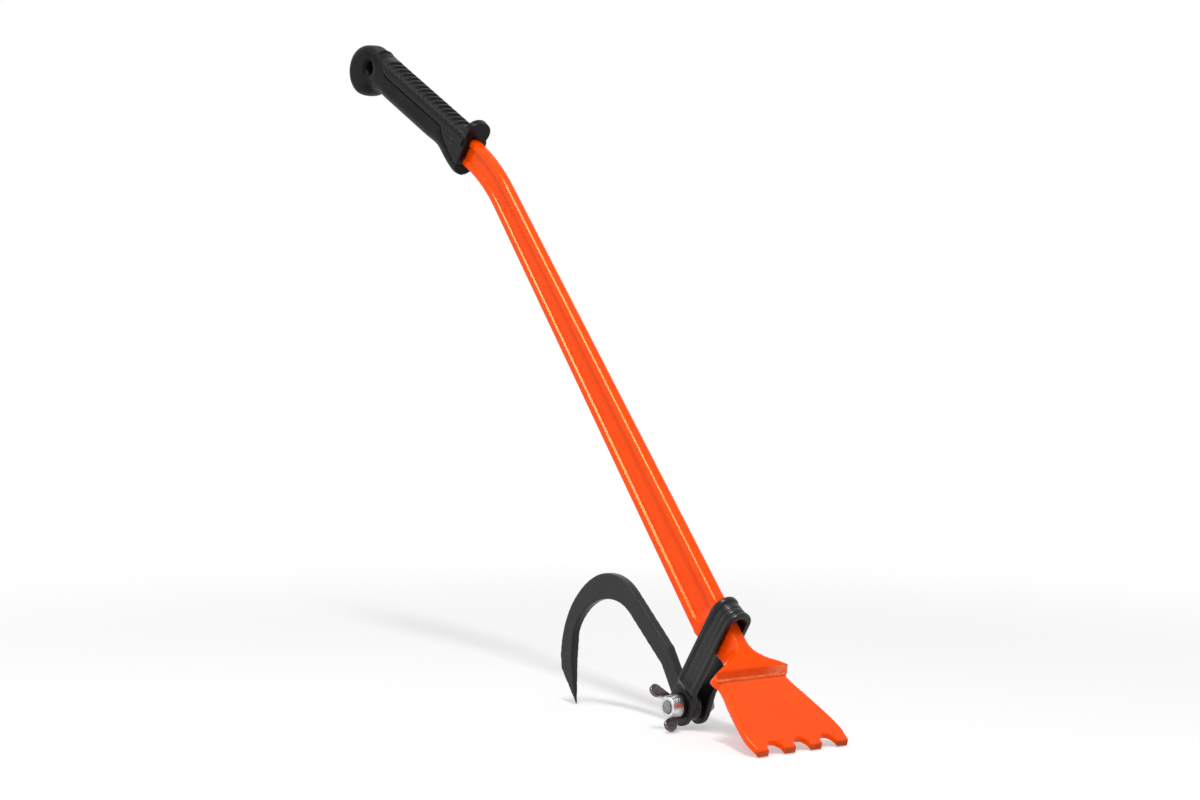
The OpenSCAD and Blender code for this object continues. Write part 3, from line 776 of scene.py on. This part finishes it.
def make_fasteners():
    nut = remeshed("wing_nut", "cast_wing_nut")
    relax(nut.data, SMOOTHING["wing_nut"])
    g = local(points(nut.data), PIVOT)
    store(nut.data, "cast", ramp(np.hypot(g[:, 0], g[:, 2]), *WINGS_FROM))
    finish_piece(nut, bright, "nut", "zinc", "wing_nut")
    ring = remeshed("washer", "stamped_washer")
    relax(ring.data, SMOOTHING["washer"])
    finish_piece(ring, black, "washer", "black_steel", "washer")
    bolt = remeshed("pivot_bolt", "hex_bolt")
    relax(bolt.data, SMOOTHING["pivot_bolt"])
    ream(bolt.data, SHANK_R, SHANK_TO, SHANK_R)
    finish_piece(bolt, bolt_zinc, "bolt", "zinc", "pivot_bolt")


make_bar()
make_grip()
make_strap()
make_hook()
make_fasteners()

# Floor, light and background
WHITE = (1, 1, 1, 1)
SKY = 0.44
FLOOR_HALF = 12.0
FLOOR_DROP = 0.0002
FLOOR_COLOUR = (0.92, 0.92, 0.92, 1)
FLOOR_ROUGH, FLOOR_SHINE = 0.9, 0.1
# the floor turns to plain white away from the object, and keeps the shadow near it
WHITE_FROM, WHITE_TO = 0.35, 1.1
WHITE_NEAR, WHITE_FAR = 0.42, 1.0
CENTRE = (0.0, 0.0, 0.25)
# name, place, aim, width and height, watts, turn about its own axis
LAMPS = (("overhead", (0.1, -0.65, 2.3), (0.1, -0.2, 0.25), (2.1, 0.26), 12, 0.0),
         ("strip", (0.79, -0.645, 2.28), (0.79, -0.644, 0.25), (0.95, 0.20), 31,
          math.radians(-14)),
         ("key", (1.6, -1.5, 1.7), CENTRE, (0.8, 0.8), 4, 0.0),
         ("left", (-1.4, -1.8, 0.9), CENTRE, (0.2, 1.6), 5, 0.0))


def seen_directly(tree):
    """1 for rays from the camera and in reflections, 0 for the light that falls on things."""
    path = tree.nodes.new("ShaderNodeLightPath")
    seen = path.outputs["Is Camera Ray"]
    for kind in ("Is Glossy Ray", "Is Transmission Ray"):
        most = tree.nodes.new("ShaderNodeMath")
        most.operation = "MAXIMUM"
        tree.links.new(seen, most.inputs[0])
        tree.links.new(path.outputs[kind], most.inputs[1])
        seen = most.outputs[0]
    return seen


def mixed(tree, fac, a, b, output):
    """Sends a mix of two shaders to an output."""
    mix = tree.nodes.new("ShaderNodeMixShader")
    for socket, source in zip(mix.inputs, (fac, a, b)):
        tree.links.new(source, socket)
    tree.links.new(mix.outputs[0], tree.nodes[output].inputs["Surface"])


def floor_material():
    m = bpy.data.materials.new("floor_white")
    m.use_nodes = True
    tree = m.node_tree
    shader = tree.nodes["Principled BSDF"]
    shader.inputs["Base Color"].default_value = FLOOR_COLOUR
    shader.inputs["Roughness"].default_value = FLOOR_ROUGH
    shader.inputs["Specular IOR Level"].default_value = FLOOR_SHINE
    glow = tree.nodes.new("ShaderNodeEmission")
    glow.inputs["Color"].default_value = WHITE
    coords = tree.nodes.new("ShaderNodeTexCoord")
    far = tree.nodes.new("ShaderNodeVectorMath")
    far.operation = "LENGTH"
    tree.links.new(coords.outputs["Object"], far.inputs[0])
    fade = tree.nodes.new("ShaderNodeMapRange")
    fade.interpolation_type = "SMOOTHSTEP"
    for name, value in (("From Min", WHITE_FROM), ("From Max", WHITE_TO),
                        ("To Min", WHITE_NEAR), ("To Max", WHITE_FAR)):
        fade.inputs[name].default_value = value
    tree.links.new(far.outputs["Value"], fade.inputs["Value"])
    shown = tree.nodes.new("ShaderNodeMath")
    shown.operation = "MULTIPLY"
    tree.links.new(seen_directly(tree), shown.inputs[0])
    tree.links.new(fade.outputs["Result"], shown.inputs[1])
    mixed(tree, shown.outputs[0], shader.outputs[0], glow.outputs[0], "Material Output")
    return m


def make_floor():
    mesh = bpy.data.meshes.new("floor")
    s = FLOOR_HALF
    mesh.from_pydata([(-s, -s, 0), (s, -s, 0), (s, s, 0), (-s, s, 0)], [], [(0, 1, 2, 3)])
    mesh.materials.append(floor_material())
    floor = add_piece("floor", mesh)
    floor.location.z = -FLOOR_DROP


def make_sky():
    sky = bpy.data.worlds.new("studio")
    scene.world = sky
    sky.use_nodes = True
    tree = sky.node_tree
    light = tree.nodes["Background"]
    light.inputs["Color"].default_value = WHITE
    light.inputs["Strength"].default_value = SKY
    seen = tree.nodes.new("ShaderNodeBackground")
    seen.inputs["Color"].default_value = WHITE
    mixed(tree, seen_directly(tree), light.outputs[0], seen.outputs[0], "World Output")


def lamp(name, at, to, size, power, spin):
    light = bpy.data.lights.new(name, "AREA")
    light.shape = "RECTANGLE"
    light.size, light.size_y = size
    light.energy = power
    o = bpy.data.objects.new(name, light)
    scene.collection.objects.link(o)
    o.location = at
    aim = (Vector(to) - Vector(at)).to_track_quat("-Z", "Y").to_matrix().to_4x4()
    o.rotation_euler = (aim @ Matrix.Rotation(spin, 4, "Z")).to_euler()


make_floor()
make_sky()
for values in LAMPS:
    lamp(*values)
